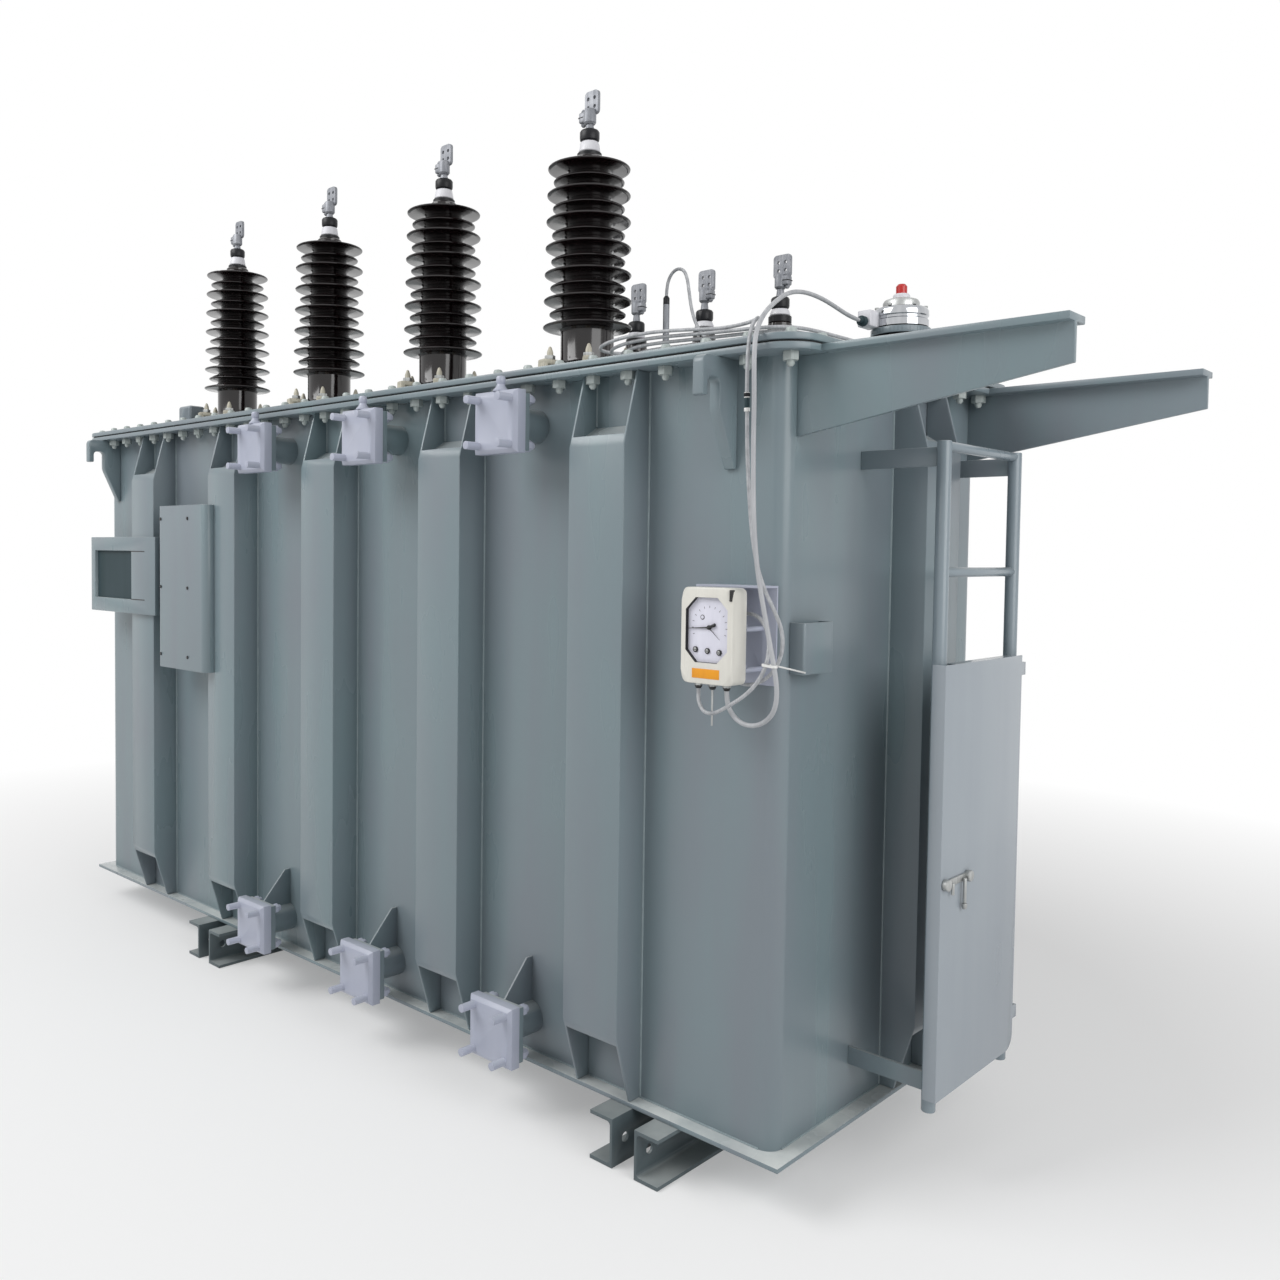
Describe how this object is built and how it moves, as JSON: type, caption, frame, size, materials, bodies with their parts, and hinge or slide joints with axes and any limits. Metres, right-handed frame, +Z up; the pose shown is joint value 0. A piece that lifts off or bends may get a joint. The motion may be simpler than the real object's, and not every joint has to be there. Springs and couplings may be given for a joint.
{
  "type": "power transformer",
  "caption": "Oil-filled power transformer tank with ribbed walls, tall shed bushings on the cover, blanked radiator flanges, overhanging brackets and a ladder with a hinged guard door.",
  "frame": {"origin": "centre of the whole object's box, at the level the skids stand on", "axes": "+X along the tank towards the ladder end, -Y towards the side with the thermometer, +Z up"},
  "size_m": [4.172, 1.42, 2.846],
  "materials": {
    "blank_paint": "light grey enamel",
    "cable_grey": "grey sheath",
    "door_paint": "grey enamel",
    "gasket_rubber": "black oil-proof rubber",
    "gauge_case": "cream enamel case",
    "porcelain": "brown glazed porcelain",
    "relief_metal": "polished cover, red indicator pin",
    "tank_paint": "semi-gloss blue-grey enamel",
    "terminal_metal": "tinned metal with black and white seals"
  },
  "bodies": {
    "transformer": {"back_lower_blanking_plates": "blank_paint", "back_lower_stubs": "tank_paint", "back_stiffeners": "tank_paint", "back_upper_blanking_plates": "blank_paint", "back_upper_stubs": "tank_paint", "base_plate": "tank_paint", "cable_plate": "tank_paint", "capillary_hank": "cable_grey", "conservator_bracket_back": "tank_paint", "conservator_bracket_front": "tank_paint", "cover_box": "tank_paint", "cover_plate": "tank_paint", "front_lower_blanking_plates": "blank_paint", "front_lower_stubs": "tank_paint", "front_stiffeners": "tank_paint", "front_tray": "tank_paint", "front_upper_blanking_plates": "blank_paint", "front_upper_stubs": "tank_paint", "gauge_box": "gauge_case", "gauge_bracket": "tank_paint", "gauge_capillary": "cable_grey", "hv_bushing_1": "porcelain", "hv_bushing_2": "porcelain", "hv_bushing_3": "porcelain", "hv_bushing_4": "porcelain", "hv_terminal_1": "terminal_metal", "hv_terminal_2": "terminal_metal", "hv_terminal_3": "terminal_metal", "hv_terminal_4": "terminal_metal", "ladder_bars": "tank_paint", "ladder_rails": "tank_paint", "ladder_rungs": "tank_paint", "left_end_stiffener": "tank_paint", "left_skid_channels": "tank_paint", "lifting_hooks": "tank_paint", "lv_bushings": "porcelain", "lv_terminals": "terminal_metal", "nameplate_frame": "tank_paint", "relief_cable": "cable_grey", "relief_riser": "tank_paint", "relief_valve": "relief_metal", "right_end_stiffener": "tank_paint", "right_skid_channels": "tank_paint", "rim_gasket": "gasket_rubber", "tank_back_wall": "tank_paint", "tank_front_wall": "tank_paint", "tank_left_end": "tank_paint", "tank_right_end": "tank_paint", "tank_rim": "tank_paint", "thermometer_pocket": "tank_paint", "well_capillary": "cable_grey"},
    "guard_door": {"ladder_guard_door": "door_paint"}
  },
  "joints": [
    {"name": "guard_door_hinge", "type": "hinge", "parent": "transformer", "child": "guard_door", "pos_m": [1.685, 0.255, 0.334], "axis": [0, 0, 1], "range_deg": [0, 135]}
  ]
}
